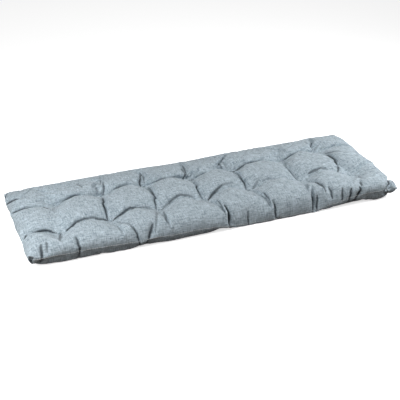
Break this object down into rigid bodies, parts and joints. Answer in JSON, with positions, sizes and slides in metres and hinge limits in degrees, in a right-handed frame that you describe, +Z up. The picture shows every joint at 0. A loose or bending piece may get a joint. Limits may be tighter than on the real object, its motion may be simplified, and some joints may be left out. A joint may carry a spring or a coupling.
{
  "type": "bench cushion",
  "caption": "Long rectangular bench cushion in melange cloth, filled and stitched through in two rows of tufts, with one seam round its side.",
  "frame": {"origin": "centre of the area the cushion covers, on the surface it lies on", "axes": "+X along the cushion's length, +Y from the front edge to the back edge, +Z up out of the tufted face"},
  "size_m": [1.2, 0.42, 0.0738],
  "materials": {
    "cloth": "matt blue-grey melange with a linen look"
  },
  "bodies": {
    "root": {"cushion": "cloth"}
  },
  "joints": []
}
